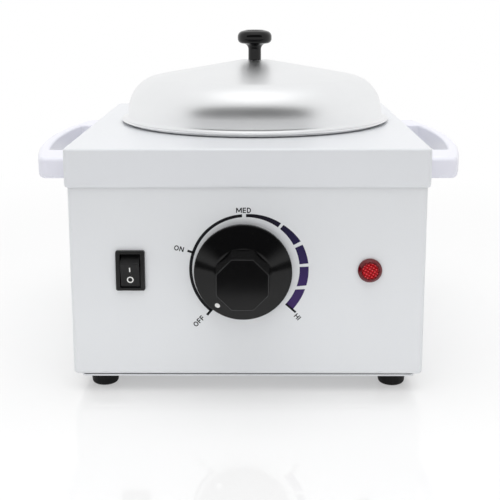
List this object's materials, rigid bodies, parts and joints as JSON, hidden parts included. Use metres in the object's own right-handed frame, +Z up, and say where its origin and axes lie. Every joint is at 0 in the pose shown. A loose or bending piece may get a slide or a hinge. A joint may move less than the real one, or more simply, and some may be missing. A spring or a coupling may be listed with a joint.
{
  "type": "wax melter",
  "caption": "Box-shaped electric wax melter with a lidded lift-out aluminium pot, side handles, a rotary heat control, a rocker switch and an indicator lamp.",
  "frame": {"origin": "on the standing surface, under the middle of the box", "axes": "+Z up, the front panel faces -Y, +X to the right seen from the front"},
  "size_m": [0.2444, 0.2483, 0.1865],
  "materials": {
    "white_steel": "gloss white powder coat",
    "plate_steel": "zinc plated",
    "handle_plastic": "white moulded",
    "spun_aluminium": "satin spun",
    "pot_aluminium": "satin drawn",
    "black_phenolic": "polished black",
    "black_nylon": "satin black",
    "rubber": "matte black",
    "red_lens": "translucent red, prismatic",
    "zinc_screw": "zinc plated",
    "copper": "drawn copper",
    "mica_band": "aluminised sheet",
    "glass_fibre": "woven glass fibre",
    "ceramic": "cream moulding",
    "brass_blade": "bright brass"
  },
  "bodies": {
    "housing": {"top_cover": "white_steel", "lower_housing": "white_steel", "bottom_plate": "plate_steel", "front_left_foot": "rubber", "front_right_foot": "rubber", "back_left_foot": "rubber", "back_right_foot": "rubber", "left_handle": "handle_plastic", "right_handle": "handle_plastic", "left_handle_screws": "zinc_screw", "right_handle_screws": "zinc_screw", "bottom_plate_screws": "zinc_screw", "foot_screws": "zinc_screw", "foot_nuts": "zinc_screw", "heating_well": "pot_aluminium", "well_clamp_ring": "plate_steel", "well_studs": "zinc_screw", "well_nuts": "zinc_screw", "thermostat_body": "ceramic", "thermostat_screws": "zinc_screw", "sensing_bulb": "copper", "capillary_tube": "copper", "switch_housing": "black_nylon", "switch_terminals": "brass_blade", "lamp_lens": "red_lens", "lamp_body": "black_nylon", "lamp_nut": "black_nylon", "heater_band": "mica_band", "band_clamp_bolt": "zinc_screw", "band_clamp_nut": "zinc_screw", "insulation_blanket": "glass_fibre", "thermal_fuse": "brass_blade", "terminal_block": "ceramic", "terminal_block_screws": "zinc_screw", "earth_stud": "zinc_screw", "earth_nut": "zinc_screw", "cord_gland": "black_nylon", "gland_nut": "black_nylon"},
    "pot": {"inner_pot": "pot_aluminium"},
    "lid": {"lid": "spun_aluminium", "lid_knob": "black_phenolic", "lid_knob_washer": "zinc_screw", "lid_knob_screw": "zinc_screw"},
    "knob": {"control_knob": "black_phenolic", "thermostat_spindle": "zinc_screw"},
    "rocker": {"rocker": "black_nylon"}
  },
  "joints": [
    {"name": "pot_lift", "type": "slide", "parent": "housing", "child": "pot", "axis": [0, 0, 1], "range_m": [0, 0.11]},
    {"name": "lid_lift", "type": "slide", "parent": "pot", "child": "lid", "axis": [0, 0, 1], "range_m": [0, 0.08]},
    {"name": "knob_turn", "type": "hinge", "parent": "housing", "child": "knob", "pos_m": [-0.0023, -0.1186, 0.0675], "axis": [0, 1, 0], "range_deg": [0, 270]},
    {"name": "rocker_press", "type": "hinge", "parent": "housing", "child": "rocker", "pos_m": [-0.0609, -0.0986, 0.0675], "axis": [-1, 0, 0], "range_deg": [0, 28]}
  ]
}
